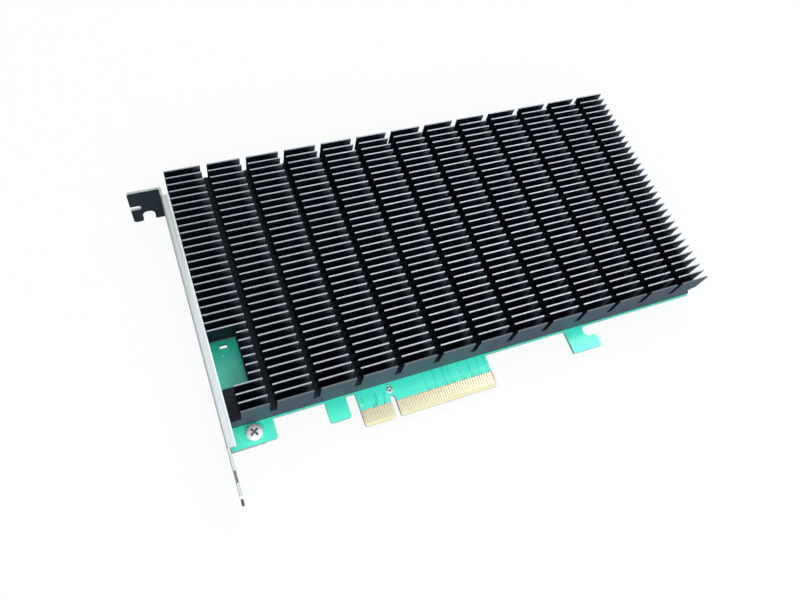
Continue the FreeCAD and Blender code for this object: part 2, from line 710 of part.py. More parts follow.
# ---------------------------------------------------------------- export
def all_parts():
    """Every node of the card."""
    beside_chip = CHIP_SIZE / 2 + CERAMIC_L / 2 + CERAMIC_GAP
    parts = {
        "circuit_board": circuit_board(),
        "contacts_component_side": contacts(TOP),
        "contacts_solder_side": contacts(BOTTOM - CONTACT_T),
        "heat_sink": heat_sink(),
        "io_bracket": io_bracket(),
        "bracket_screw_lower": bracket_screw(LOWER_SCREW_Y),
        "bracket_screw_upper": bracket_screw(UPPER_SCREW_Y),
        "switch_chip": switch_chip(),
        "switch_thermal_pad": switch_thermal_pad(),
        "inductors": inductors(),
        "bulk_capacitors": bulk_capacitors(),
        "voltage_regulators": voltage_regulators(),
        "ceramic_capacitors": ceramic_capacitors(TOP, (CHIP_X - beside_chip, CHIP_X + beside_chip)),
        "underside_capacitors": ceramic_capacitors(BOTTOM - CERAMIC_H, (CHIP_X - CERAMIC_L, CHIP_X + CERAMIC_L)),
        "clock_generator": clock_generator(),
        "crystal": crystal(),
        "flash_chip": flash_chip(),
        "status_led": status_led(),
    }
    for number, (x, y) in enumerate(m2_seats(), start=1):
        parts[f"m2_socket_{number}"] = m2_socket(x, y)
        parts[f"m2_standoff_{number}"] = m2_standoff(x, y)
        parts[f"ssd_thermal_pad_{number}"] = ssd_thermal_pad(x, y)
    return parts


os.makedirs("parts", exist_ok=True)
for name, shape in all_parts().items():
    shape.exportStep(f"parts/{name}.step")
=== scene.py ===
import math

import bpy
import numpy as np
from mathutils import Matrix, Vector


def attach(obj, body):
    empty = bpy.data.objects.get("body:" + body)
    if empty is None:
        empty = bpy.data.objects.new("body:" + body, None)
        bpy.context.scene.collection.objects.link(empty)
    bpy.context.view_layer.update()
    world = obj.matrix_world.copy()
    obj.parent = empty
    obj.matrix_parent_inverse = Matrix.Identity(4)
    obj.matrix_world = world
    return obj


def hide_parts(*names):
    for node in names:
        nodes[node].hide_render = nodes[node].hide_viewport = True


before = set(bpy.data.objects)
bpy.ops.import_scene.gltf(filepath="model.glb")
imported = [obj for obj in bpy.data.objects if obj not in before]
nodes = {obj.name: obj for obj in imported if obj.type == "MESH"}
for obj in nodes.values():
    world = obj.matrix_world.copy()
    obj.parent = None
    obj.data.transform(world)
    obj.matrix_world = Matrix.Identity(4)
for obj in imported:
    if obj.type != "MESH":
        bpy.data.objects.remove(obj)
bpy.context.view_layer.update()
MM = 0.001


# ---------------------------------------------------------------- circuit board
# A routed panel of green-masked glass-epoxy laminate, 1.57 mm thick. The mask stops short of the
# contact tongue, where bare laminate shows between the contacts, and the routed edges are raw, their
# tone darkened in part as painted shade.
def finish(name, **sockets):
    """New material with one Principled shader; sockets are named with _ for each space."""
    made = bpy.data.materials.new(name)
    made.use_nodes = True
    shader = made.node_tree.nodes["Principled BSDF"]
    for key, value in sockets.items():
        shader.inputs[key.replace("_", " ")].default_value = value
    return made, made.node_tree, shader


def put(tree, kind, *values, **settings):
    """New node; values fill its inputs in order, each a constant, a socket to link or None to skip."""
    made = tree.nodes.new(kind)
    for key, value in settings.items():
        setattr(made, key, value)
    for place, value in enumerate(values):
        if isinstance(value, bpy.types.NodeSocket):
            tree.links.new(value, made.inputs[place])
        elif value is not None:
            made.inputs[place].default_value = value
    return made


def count(tree, operation, *values):
    """Math node's result."""
    return put(tree, "ShaderNodeMath", *values, operation=operation).outputs[0]


def within(tree, value, low, high):
    """1 where a value lies between low and high, otherwise 0."""
    above = count(tree, "GREATER_THAN", value, low)
    return count(tree, "MULTIPLY", above, count(tree, "LESS_THAN", value, high))


def blend(tree, share, low, high):
    """Colour between low and high."""
    mixed = put(tree, "ShaderNodeMix", data_type="RGBA")
    for socket, value in ((mixed.inputs[0], share), (mixed.inputs[6], low), (mixed.inputs[7], high)):
        if isinstance(value, bpy.types.NodeSocket):
            tree.links.new(value, socket)
        else:
            socket.default_value = value
    return mixed.outputs[2]


def group_tree(name, inputs, outputs):
    """Empty node group with named float, vector and colour sockets."""
    tree = bpy.data.node_groups.new(name, "ShaderNodeTree")
    for side, sockets in (("INPUT", inputs), ("OUTPUT", outputs)):
        for label, kind, value in sockets:
            made = tree.interface.new_socket(label, in_out=side, socket_type="NodeSocket" + kind)
            if value is not None:
                made.default_value = value
    return tree, tree.nodes.new("NodeGroupInput"), tree.nodes.new("NodeGroupOutput")


def use(tree, group, *values):
    """A node group placed in a material."""
    made = tree.nodes.new("ShaderNodeGroup")
    made.node_tree = group
    for place, value in enumerate(values):
        if isinstance(value, bpy.types.NodeSocket):
            tree.links.new(value, made.inputs[place])
        else:
            made.inputs[place].default_value = value
    return made.outputs


def dress(target, *finishes):
    """The object takes these materials in place of its own."""
    target.data.materials.clear()
    for one in finishes:
        target.data.materials.append(one)


# soft marks: two sizes of noise; gives a roughness round a middle value and a faint height
soft_marks, marks_in, marks_out = group_tree(
    "soft_marks",
    [("Place", "Vector", None), ("Size", "Float", 400.0), ("Middle", "Float", 0.4), ("Spread", "Float", 0.1)],
    [("Roughness", "Float", None), ("Height", "Float", None)],
)
broad = put(soft_marks, "ShaderNodeTexNoise", marks_in.outputs["Place"], None, marks_in.outputs["Size"], 3.0)
finer = count(soft_marks, "MULTIPLY", marks_in.outputs["Size"], 9.0)
fine = put(soft_marks, "ShaderNodeTexNoise", marks_in.outputs["Place"], None, finer, 2.0)
both = count(soft_marks, "ADD", broad.outputs[0], count(soft_marks, "MULTIPLY", fine.outputs[0], 0.5))
away = count(soft_marks, "SUBTRACT", both, 0.75)
spread = count(soft_marks, "MULTIPLY_ADD", away, marks_in.outputs["Spread"], marks_in.outputs["Middle"])
soft_marks.links.new(spread, marks_out.inputs["Roughness"])
soft_marks.links.new(fine.outputs[0], marks_out.inputs["Height"])

MASK_GREEN = (0.062, 0.970, 0.700, 1)
MASK_DEEP = (0.054, 0.910, 0.645, 1)
BARE_LAMINATE = (0.600, 0.400, 0.250, 1)
BEVELLED_LAMINATE = (0.720, 0.660, 0.395, 1)
ROUTED_EDGE_AND_SHADE = (0.300, 0.640, 0.520, 1)
ROUTED_TONGUE = (0.600, 0.500, 0.360, 1)
WEAVE_THREAD = (0.800, 0.700, 0.500, 1)
WEAVE_SHARE = 0.08
MASK_EDGE = 6.0 * MM
RESIN_FADE = (1.6 * MM, 3.6 * MM)
TONGUE_SPAN = (-12.7 * MM, 39.7 * MM)
RAW_ROUGHNESS = 0.62

solder_mask, tree, shader = finish(
    "solder_mask", Specular_IOR_Level=0.7, Coat_Weight=0.55, Coat_Roughness=0.20
)
place = put(tree, "ShaderNodeTexCoord").outputs
axes = put(tree, "ShaderNodeSeparateXYZ", place["Object"]).outputs
facing = put(tree, "ShaderNodeSeparateXYZ", place["Normal"]).outputs
pour = put(tree, "ShaderNodeTexNoise", place["Object"], None, 55.0, 2.0).outputs[0]
pour = put(tree, "ShaderNodeMapRange", pour, 0.42, 0.62, 0.0, 1.0).outputs[0]
green = blend(tree, pour, MASK_GREEN, MASK_DEEP)
below_mask = count(tree, "LESS_THAN", axes[1], MASK_EDGE)
bare = count(tree, "MULTIPLY", within(tree, axes[0], *TONGUE_SPAN), below_mask)
weave = put(tree, "ShaderNodeTexWave", place["Object"], 900.0, 1.5, bands_direction="X").outputs[1]
fade = put(tree, "ShaderNodeMapRange", axes[1], *RESIN_FADE, 0.0, 1.0).outputs[0]
glass = blend(tree, fade, BEVELLED_LAMINATE, BARE_LAMINATE)
laminate = blend(tree, count(tree, "MULTIPLY", weave, WEAVE_SHARE), glass, WEAVE_THREAD)
face = blend(tree, bare, green, laminate)
edge = count(tree, "LESS_THAN", count(tree, "ABSOLUTE", facing[2]), 0.5)
# Partly painted shade: the routed edges take their raw tone, darkened to a mid green.
routed = blend(tree, bare, ROUTED_EDGE_AND_SHADE, ROUTED_TONGUE)
tree.links.new(blend(tree, edge, face, routed), shader.inputs["Base Color"])
marks = use(tree, soft_marks, place["Object"], 160.0, 0.30, 0.18)
raw = count(tree, "MULTIPLY", count(tree, "MAXIMUM", edge, bare), RAW_ROUGHNESS)
rough = count(tree, "MAXIMUM", marks[0], raw)
tree.links.new(rough, shader.inputs["Roughness"])
bump = put(tree, "ShaderNodeBump", 0.10, 0.00002, None, marks[1])
tree.links.new(bump.outputs[0], shader.inputs["Normal"])
dress(nodes["circuit_board"], solder_mask)


# ---------------------------------------------------------------- copper under the mask
# A short neck leads from every contact, and pairs of lanes run on under the heat sink. They stand a
# few hundredths of a millimetre proud beneath the mask, so they show as slightly darker lines.
def solid_mesh(name, points, faces, shade_smooth=True):
    """Mesh object from a list of point arrays and a list of face arrays."""
    mesh = bpy.data.meshes.new(name)
    corners = np.concatenate(points).reshape(-1, 3).tolist()
    mesh.from_pydata(corners, [], [face for part in faces for face in part.tolist()])
    mesh.polygons.foreach_set("use_smooth", [shade_smooth] * len(mesh.polygons))
    mesh.validate()
    made = bpy.data.objects.new(name, mesh)
    bpy.context.scene.collection.objects.link(made)
    return made


def tracks(paths, width, low, high):
    """Flat-topped ridges along paths (tracks, stations, 2): at each station the section's lower corners
    lie half the width to each side of the centre line, and its upper ones 0.36 of the width."""
    run = np.gradient(paths, axis=1)
    run /= np.linalg.norm(run, axis=2, keepdims=True)
    across = np.stack([-run[..., 1], run[..., 0]], axis=-1)[:, :, None, :]
    offset = np.array([-0.5, -0.36, 0.36, 0.5])[None, None, :, None] * width
    flat = paths[:, :, None, :] + across * offset
    level = np.broadcast_to(np.array([low, high, high, low])[None, None, :, None], flat.shape[:3] + (1,))
    points = np.concatenate([flat, level], axis=-1)
    amount, stations = paths.shape[:2]
    index = np.arange(amount * stations * 4).reshape(amount, stations, 4)
    after = np.roll(index, -1, axis=2)
    sides = np.stack([index[:, :-1], index[:, 1:], after[:, 1:], after[:, :-1]], axis=-1).reshape(-1, 4)
    ends = np.concatenate([index[:, 0], index[:, -1, ::-1]])
    return points.reshape(-1, 3), sides, ends


def run_along(*stations):
    """Paths from stations along them, each an x and a y that is a list or one number for all."""
    return np.stack([np.column_stack(np.broadcast_arrays(x, y)) for x, y in stations], axis=1)


BOARD_FACE = 0.785 * MM
TRACK_PROUD = 0.022 * MM
NECK_FOOT = 5.7         # this and the rest of the tracks' layout are in millimetres
LANE_GAP = 0.44
contact_x = np.concatenate([-1.5 - np.arange(11), 1.5 + np.arange(38)])
pair_x = np.array([13.5, 17.25, 21.0, 23.5, 27.6, 31.5, 35.4, 38.2])
beside = np.array([-0.5, 0.5])[None, :]
fed_x = (np.round(pair_x)[:, None] + beside).ravel()
lane_x = (pair_x[:, None] + LANE_GAP * beside).ravel()
spread_x = fed_x * 0.6 + 6.0
lanes = run_along((fed_x, NECK_FOOT), (fed_x, 6.6), (lane_x, 7.8), (lane_x + 0.1, 14.0))
necks = run_along((contact_x, NECK_FOOT), (contact_x, 7.0))
returns = run_along((fed_x, NECK_FOOT), (fed_x, 8.0), (spread_x, 21.0), (spread_x, 33.0))
feeds = np.array([[(-6.2, 10.6), (-5.9, 9.2), (-5.9, 8.0), (-7.4, NECK_FOOT)]])
guards = np.array([
    [(-2.6, 9.9), (-2.7, 8.6), (-3.1, 7.2), (-3.4, NECK_FOOT)],
    [(-11.2, 10.4), (-11.0, 9.8), (-10.9, 9.2), (-10.8, 8.6)],
])
points, faces, made = [], [], 0
for paths, width, face in (
    (lanes, 0.24, 1),
    (necks, 0.30, 1),
    (feeds, 1.40, 1),
    (guards, 0.80, 1),
    (necks, 0.30, -1),
    (returns, 0.24, -1),
):
    inner, outer = face * (BOARD_FACE - TRACK_PROUD), face * (BOARD_FACE + TRACK_PROUD)
    ridge, sides, ends = tracks(paths * MM, width * MM, inner, outer)
    if face < 0:
        sides, ends = sides[:, ::-1], ends[:, ::-1]
    points.append(ridge)
    faces += [sides + made, ends + made]
    made += len(ridge)
buried_tracks = solid_mesh("buried_tracks", points, faces, False)

COPPER_DEEP, COPPER_PALE = (0.040, 0.68, 0.50, 1), (0.056, 0.78, 0.58, 1)
masked_copper, tree, shader = finish(
    "masked_copper", Specular_IOR_Level=0.6, Coat_Weight=0.40, Coat_Roughness=0.20
)
place = put(tree, "ShaderNodeTexCoord").outputs
cloud = put(tree, "ShaderNodeTexNoise", place["Object"], None, 300.0, 2.0).outputs[0]
tree.links.new(blend(tree, cloud, COPPER_DEEP, COPPER_PALE), shader.inputs["Base Color"])
marks = use(tree, soft_marks, place["Object"], 300.0, 0.26, 0.12)
tree.links.new(marks[0], shader.inputs["Roughness"])
dress(buried_tracks, masked_copper)
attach(buried_tracks, "root")


# ---------------------------------------------------------------- vias, pads and the tooling ring
# Plated holes filled with mask stand as tiny domes in rows over the contacts, on both faces. A
# tinned ring sits over the key notch, and bare tinned dots mark test points.
def turned(profile, centres, steps, flip=False):
    """Solids of revolution about Z: ring i of each has the radius and height of profile row i, and the
    first and last rows lie on the axis, so each closes in a single pole point."""
    angle = np.linspace(0, 2 * np.pi, steps, endpoint=False)
    rings = profile[1:-1]
    x, y = rings[:, :1] * np.cos(angle), rings[:, :1] * np.sin(angle)
    ring = np.stack([x, y, np.repeat(rings[:, 1:2], steps, axis=1)], axis=-1).reshape(-1, 3)
    one = np.concatenate([[[0, 0, profile[0, 1]]], ring, [[0, 0, profile[-1, 1]]]])
    if flip:
        one = one * [1, 1, -1]
    index = 1 + np.arange(len(rings) * steps).reshape(-1, steps)
    after = np.roll(index, -1, axis=1)
    band = np.stack([index[:-1], index[1:], after[1:], after[:-1]], axis=-1).reshape(-1, 4)
    first = np.stack([np.zeros(steps, int), index[0], after[0]], axis=-1)
    last = np.stack([np.full(steps, len(one) - 1), after[-1], index[-1]], axis=-1)
    caps = np.concatenate([first, last])
    if flip:
        band, caps = band[:, ::-1], caps[:, ::-1]
    shift = (np.arange(len(centres)) * len(one))[:, None, None]
    points = (one[None] + centres[:, None, :]).reshape(-1, 3)
    return points, (band[None] + shift).reshape(-1, 4), (caps[None] + shift).reshape(-1, 3)


def joined(name, solids, shade_smooth=True):
    """One mesh from several (points, quads, triangles) sets."""
    points, faces, made = [], [], 0
    for some, quads, triangles in solids:
        points.append(some)
        faces += [quads + made, triangles + made]
        made += len(some)
    return solid_mesh(name, points, faces, shade_smooth)


def spots(xs, ys, z):
    """Centres from two lists of coordinates in millimetres."""
    return np.stack([np.asarray(xs, float), np.asarray(ys, float), np.full(len(xs), z / MM)], axis=-1) * MM


dome = np.array([[0, 0.030], [0.12, 0.028], [0.22, 0.016], [0.26, 0.0], [0.26, -0.02], [0, -0.02]]) * MM
stagger = np.where(np.arange(contact_x.size) % 2, 7.0, 7.35)
stitch = np.arange(-40, 134, 9.0)
back_rows = (
    (contact_x, stagger),
    (stitch, 100.5),
    (stitch, 57.5),
    (-34 + 3 * np.arange(8), 22.0),
    (62 + 4.0 * np.arange(9), 30.0),
)
back_x, back_y = np.concatenate([np.broadcast_arrays(*row) for row in back_rows], axis=1)
vias = joined(
    "vias",
    [
        turned(dome, spots(contact_x, stagger, BOARD_FACE), 10),
        turned(dome * [1.4, 1], spots(back_x, back_y, -BOARD_FACE), 10, True),
    ],
)
dress(vias, masked_copper)
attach(vias, "root")

bead = np.array([
    [0, 0.014], [0.30, 0.014], [0.36, 0.05], [0.72, 0.085],
    [1.12, 0.07], [1.28, 0.0], [1.28, -0.02], [0, -0.02],
]) * MM
dot = np.array([[0, 0.06], [0.18, 0.055], [0.34, 0.03], [0.40, 0.0], [0.40, -0.02], [0, -0.02]]) * MM
front_dots = (-11.57, -52.75, -0.2), (8.12, 39.46, 12.2)
back_dots = (-11.57, 20, 24, 28, 70, 74, -30, -30), (8.12, 52, 52, 52, 40, 40, 60, 64)
ring_at = (-0.11,), (10.39,)
tinned_pads = joined(
    "tinned_pads",
    [
        turned(bead, spots(*ring_at, BOARD_FACE), 40),
        turned(bead, spots(*ring_at, -BOARD_FACE), 40, True),
        turned(dot, spots(*front_dots, BOARD_FACE), 20),
        turned(dot, spots(*back_dots, -BOARD_FACE), 20, True),
    ],
)
bright_tin, tree, shader = finish("bright_tin", Metallic=1.0)
place = put(tree, "ShaderNodeTexCoord").outputs
cloud = put(tree, "ShaderNodeTexNoise", place["Object"], None, 1500.0, 2.0).outputs[0]
tree.links.new(blend(tree, cloud, (0.78, 0.79, 0.80, 1), (0.95, 0.95, 0.94, 1)), shader.inputs["Base Color"])
marks = use(tree, soft_marks, place["Object"], 1500.0, 0.30, 0.20)
tree.links.new(marks[0], shader.inputs["Roughness"])
dress(tinned_pads, bright_tin)
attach(tinned_pads, "root")


# ---------------------------------------------------------------- contacts
# Hard gold over nickel on copper fingers, 1 mm apart on both faces of the tongue. The plating is
# bright, with fine wipe lines along each finger from being pushed into a slot.
contact_plating, tree, shader = finish("contact_plating", Metallic=1.0)
place = put(tree, "ShaderNodeTexCoord").outputs
wiped = put(tree, "ShaderNodeMapping", place["Object"], None, None, (9000.0, 260.0, 900.0))
wipe = put(tree, "ShaderNodeTexNoise", wiped.outputs[0], None, 1.0, 2.0).outputs[0]
tree.links.new(blend(tree, wipe, (0.65, 0.59, 0.415, 1), (0.74, 0.685, 0.51, 1)), shader.inputs["Base Color"])
rough = put(tree, "ShaderNodeMapRange", wipe, 0.3, 0.7, 0.22, 0.38).outputs[0]
tree.links.new(rough, shader.inputs["Roughness"])
bump = put(tree, "ShaderNodeBump", 0.12, 0.00001, None, wipe)
tree.links.new(bump.outputs[0], shader.inputs["Normal"])
for side in ("component", "solder"):
    dress(nodes[f"contacts_{side}_side"], contact_plating)


# ---------------------------------------------------------------- heat sink
# One aluminium extrusion, sawn across into thirteen columns of fins, black-anodised, with paler
# crests where the wheel has skimmed them, and painted light on the fin faces near each saw cut.
SINK_TOP = 16.285 * MM
SINK_FRONT = 13.1 * MM
WEB_UNDERSIDE = 6.285 * MM
COLUMN_PITCH = 14.909 * MM
FIRST_CUT = -43.35 * MM - COLUMN_PITCH
CREST_DEPTH = 0.06 * MM
FRONT_CREST = (SINK_FRONT + 0.5 * MM, SINK_FRONT + 1.0 * MM)
PAINTED_HAZE_REACH = 3.4 * MM
WINDOW_WALL = (26 * MM, 60 * MM)
LOWER_EDGE = (WEB_UNDERSIDE, WEB_UNDERSIDE + 0.8 * MM)
ALONG_FINS = (40.0, 2400.0, 2400.0)
FILM_DEEP, FILM_PALE = (0.002, 0.003, 0.007, 1), (0.006, 0.010, 0.018, 1)
PAINTED_LIGHT_FLOOR = (0.022, 0.024, 0.031, 1)
PAINTED_SHEEN_DEEP, PAINTED_SHEEN_PALE = (0.035, 0.055, 0.075, 1), (0.090, 0.120, 0.150, 1)
PAINTED_HAZE_DEEP, PAINTED_HAZE_PALE = (0.040, 0.050, 0.070, 1), (0.170, 0.190, 0.230, 1)
PAINTED_EDGE_HIGHLIGHT = (0.095, 0.085, 0.095, 1)
SKIMMED_DEEP, SKIMMED_PALE = (0.36, 0.385, 0.43, 1), (0.50, 0.53, 0.59, 1)

drawn_lines, lines_in, lines_out = group_tree(
    "drawn_lines",
    [
        ("Place", "Vector", None), ("Stretch", "Vector", (40.0, 2400.0, 2400.0)),
        ("Low", "Float", 0.3), ("High", "Float", 0.5),
    ],
    [("Lines", "Float", None), ("Roughness", "Float", None)],
)
given = lines_in.outputs
pulled = put(drawn_lines, "ShaderNodeVectorMath", given["Place"], given["Stretch"], operation="MULTIPLY")
line = put(drawn_lines, "ShaderNodeTexNoise", pulled.outputs[0], None, 1.0, 3.0, 0.6).outputs[0]
value = put(drawn_lines, "ShaderNodeMapRange", line, 0.3, 0.7, given["Low"], given["High"]).outputs[0]
drawn_lines.links.new(line, lines_out.inputs["Lines"])
drawn_lines.links.new(value, lines_out.inputs["Roughness"])

black_anodising, tree, shader = finish("black_anodising", Specular_IOR_Level=0.12)
place = put(tree, "ShaderNodeTexCoord").outputs
axes = put(tree, "ShaderNodeSeparateXYZ", place["Object"]).outputs
facing = put(tree, "ShaderNodeSeparateXYZ", place["Normal"]).outputs
lines = use(tree, drawn_lines, place["Object"], ALONG_FINS, 0.40, 0.58)
speckle = put(tree, "ShaderNodeTexNoise", place["Object"], None, 700.0, 3.0).outputs[0]
upward = count(tree, "GREATER_THAN", facing[2], 0.6)
high = count(tree, "GREATER_THAN", axes[2], SINK_TOP - CREST_DEPTH)
# Painted shade: the crest's skimmed colour and metal fade to 0.3 over the front row's top, standing in for
# shade on its rounded edge.
crest_fade_shade = put(tree, "ShaderNodeMapRange", axes[1], *FRONT_CREST, 0.3, 1.0).outputs[0]
crest = count(tree, "MULTIPLY", count(tree, "MULTIPLY", upward, high), crest_fade_shade)
fin_side = count(tree, "GREATER_THAN", count(tree, "ABSOLUTE", facing[1]), 0.7)
# Painted light: the fin faces are painted paler over the last stretch of each column before the next saw cut.
past = count(tree, "MODULO", count(tree, "SUBTRACT", axes[0], FIRST_CUT), COLUMN_PITCH)
painted_haze_share = put(tree, "ShaderNodeMapRange", past, COLUMN_PITCH - PAINTED_HAZE_REACH, COLUMN_PITCH, 0.0, 0.8).outputs[0]
window_wall = count(tree, "MULTIPLY", within(tree, axes[1], *WINDOW_WALL), fin_side)
# Painted highlight: a light line on the window's walls just above the web's underside.
painted_edge_line = count(tree, "MULTIPLY", within(tree, axes[2], *LOWER_EDGE), window_wall)
front = count(tree, "LESS_THAN", axes[1], SINK_FRONT + CREST_DEPTH)
film = blend(tree, speckle, FILM_DEEP, FILM_PALE)
# Painted light: faces turned upward are painted lighter than the rest of the film.
film = blend(tree, count(tree, "MULTIPLY", upward, 0.9), film, PAINTED_LIGHT_FLOOR)
painted_haze = blend(tree, lines[0], PAINTED_HAZE_DEEP, PAINTED_HAZE_PALE)
film = blend(tree, count(tree, "MULTIPLY", painted_haze_share, fin_side), film, painted_haze)
film = blend(tree, painted_edge_line, film, PAINTED_EDGE_HIGHLIGHT)
# Painted light: the front face is painted a paler, bluer sheen than the film.
film = blend(tree, front, film, blend(tree, lines[0], PAINTED_SHEEN_DEEP, PAINTED_SHEEN_PALE))
skimmed = blend(tree, speckle, SKIMMED_DEEP, SKIMMED_PALE)
tree.links.new(blend(tree, crest, film, skimmed), shader.inputs["Base Color"])
tree.links.new(count(tree, "MULTIPLY", crest, 0.95), shader.inputs["Metallic"])
tree.links.new(lines[1], shader.inputs["Roughness"])
bump = put(tree, "ShaderNodeBump", 0.18, 0.00002, None, lines[0])
tree.links.new(bump.outputs[0], shader.inputs["Normal"])
dress(nodes["heat_sink"], black_anodising)


# ---------------------------------------------------------------- slot bracket
# Pressed from 0.86 mm steel, folded at the flange, the tab and the lugs, then bright nickel plated.
# Rolling grain runs along it. Painted shade darkens the rims and the slopes of the tail's edge and the
# inner face of the tab, and a painted highlight whitens the flange's free edge.
SHEET_MIDDLE = -59.22 * MM
SHOULDER = 3.6 * MM
TAB_LEVEL = 100 * MM
FLANGE_EDGE = -57.25 * MM
FLANGE_HEIGHT = 12 * MM
RIM_SHADE_SPAN = (0.20 * MM, 0.38 * MM)
ALONG_BRACKET = (1800.0, 45.0, 1800.0)
NICKEL_DEEP, NICKEL_PALE = (0.82, 0.85, 0.84, 1), (0.88, 0.90, 0.895, 1)
PAINTED_SHADE_RIM = (0.34, 0.37, 0.38, 1)
PAINTED_SHADE_STEEL = (0.14, 0.14, 0.15, 1)
PAINTED_SHADE_NICKEL = (0.052, 0.070, 0.084, 1)
nickel_plating, tree, shader = finish("nickel_plating")
place = put(tree, "ShaderNodeTexCoord").outputs
axes = put(tree, "ShaderNodeSeparateXYZ", place["Object"]).outputs
facing = put(tree, "ShaderNodeSeparateXYZ", place["Normal"]).outputs
grain = use(tree, drawn_lines, place["Object"], ALONG_BRACKET, 0.22, 0.36)
plated = blend(tree, grain[0], NICKEL_DEEP, NICKEL_PALE)
above_plate = count(tree, "GREATER_THAN", axes[1], TAB_LEVEL)
# Painted shade: the inner face of the tab is painted dark.
inside = count(tree, "MULTIPLY", count(tree, "LESS_THAN", facing[1], -0.7), above_plate)
outward = count(tree, "GREATER_THAN", facing[2], 0.3)
low_end = count(tree, "LESS_THAN", axes[1], SHOULDER)
off_middle = count(tree, "ABSOLUTE", count(tree, "SUBTRACT", axes[0], SHEET_MIDDLE))
# Painted shade: grey strips along both rims of the sheet's upward faces near the tail's end.
rim_shade = put(tree, "ShaderNodeMapRange", off_middle, *RIM_SHADE_SPAN, 0.0, 0.7).outputs[0]
rim_shade = count(tree, "MULTIPLY", rim_shade, count(tree, "MULTIPLY", outward, low_end))
on_tail = count(tree, "LESS_THAN", axes[1], 0.0)
# Painted shade: the tail's slopes facing forward are painted a dark steel grey.
slope = count(tree, "MULTIPLY", count(tree, "LESS_THAN", facing[1], -0.5), on_tail)
plated = blend(tree, rim_shade, plated, PAINTED_SHADE_RIM)
plated = blend(tree, slope, plated, PAINTED_SHADE_STEEL)
tree.links.new(blend(tree, inside, plated, PAINTED_SHADE_NICKEL), shader.inputs["Base Color"])
on_flange = count(tree, "GREATER_THAN", axes[2], FLANGE_HEIGHT)
# Painted highlight: near the flange's free edge the plating is made unmetallic, so it renders as a white
# line.
painted_highlight_edge = count(tree, "MULTIPLY", count(tree, "GREATER_THAN", axes[0], FLANGE_EDGE), on_flange)
tree.links.new(count(tree, "MULTIPLY_ADD", painted_highlight_edge, -0.9, 1.0), shader.inputs["Metallic"])
rough = count(tree, "MULTIPLY_ADD", count(tree, "MAXIMUM", inside, slope), 0.25, grain[1])
tree.links.new(rough, shader.inputs["Roughness"])
bump = put(tree, "ShaderNodeBump", 0.05, 0.00002, None, grain[0])
tree.links.new(bump.outputs[0], shader.inputs["Normal"])
dress(nodes["io_bracket"], nickel_plating)


# ---------------------------------------------------------------- bracket screws
# Pan-head machine screws with a cross recess, cold-headed and rolled, nickel plated. Each passes
# through the board into a tapped lug, and its thread shows behind the lug.
def cross_depth(x, y, arm, width, slope):
    """How deep a point lies in a cross recess, 0 to 1: each arm falls linearly from its edge by one over
    the slope, and the deeper of the two arms counts."""
    def bar(a, b):
        return np.clip(np.minimum(arm / 2 - np.abs(a), width / 2 - np.abs(b)) / slope, 0, 1)
    return np.maximum(bar(x, y), bar(y, x))


def screw_head(radius, rim, height, arm, width, depth, rings, steps):
    """Head as a height field over a disc: the rim rises straight, the crown stands above it by its height
    times one less the radius's share to the power 2.6, to the power 1/2.2, less the cross recess."""
    share = np.linspace(0, 1, rings) ** 0.9
    r = radius * share
    angle = np.linspace(0, 2 * np.pi, steps, endpoint=False)
    x, y = r[:, None] * np.cos(angle), r[:, None] * np.sin(angle)
    crown = rim + (height - rim) * (1 - (r / radius) ** 2.6) ** (1 / 2.2)
    z = crown[:, None] - depth * cross_depth(x, y, arm, width, 0.16 * MM)
    top = np.stack([x, y, z], axis=-1)[1:]
    skirt = np.stack([x[-1], y[-1], np.zeros(steps)], axis=-1)[None]
    grid = np.concatenate([top, skirt])
    one = np.concatenate([[[0, 0, z[0, 0]]], grid.reshape(-1, 3), [[0, 0, 0]]])
    index = 1 + np.arange(grid.shape[0] * steps).reshape(-1, steps)
    after = np.roll(index, -1, axis=1)
    band = np.stack([index[:-1], index[1:], after[1:], after[:-1]], axis=-1).reshape(-1, 4)
    first = np.stack([np.zeros(steps, int), index[0], after[0]], axis=-1)
    last = np.stack([np.full(steps, len(one) - 1), after[-1], index[-1]], axis=-1)
    return one, band, np.concatenate([first, last])


def screw_thread(radius, low, high, pitch, depth, steps):
    """Threaded shank: the radius at height z and angle a is the outer radius less the thread depth times a
    triangle wave of z over the pitch minus a over a full turn; both ends close on the axis."""
    z = np.linspace(low, high, max(int((high - low) / pitch * 8), 4))
    angle = np.linspace(0, 2 * np.pi, steps, endpoint=False)
    wave = np.abs(((z[:, None] / pitch - angle / (2 * np.pi)) % 1) * 2 - 1)
    r = radius - depth * wave
    grid = np.stack([r * np.cos(angle), r * np.sin(angle), np.repeat(z[:, None], steps, axis=1)], axis=-1)
    one = np.concatenate([[[0, 0, low]], grid.reshape(-1, 3), [[0, 0, high]]])
    index = 1 + np.arange(grid.shape[0] * steps).reshape(-1, steps)
    after = np.roll(index, -1, axis=1)
    band = np.stack([index[:-1], after[:-1], after[1:], index[1:]], axis=-1).reshape(-1, 4)
    first = np.stack([np.zeros(steps, int), after[0], index[0]], axis=-1)
    last = np.stack([np.full(steps, len(one) - 1), index[-1], after[-1]], axis=-1)
    return one, band, np.concatenate([first, last])


def moved(solid, centre, turn=0.0, down=False):
    """A solid turned about Z, put on a centre, and hung below it instead where down is true."""
    points, quads, triangles = solid
    c, s = math.cos(turn), math.sin(turn)
    points = points @ np.array([[c, s, 0], [-s, c, 0], [0, 0, 1]])
    if down:
        points, quads, triangles = points * [1, 1, -1], quads[:, ::-1], triangles[:, ::-1]
    return points + centre, quads, triangles


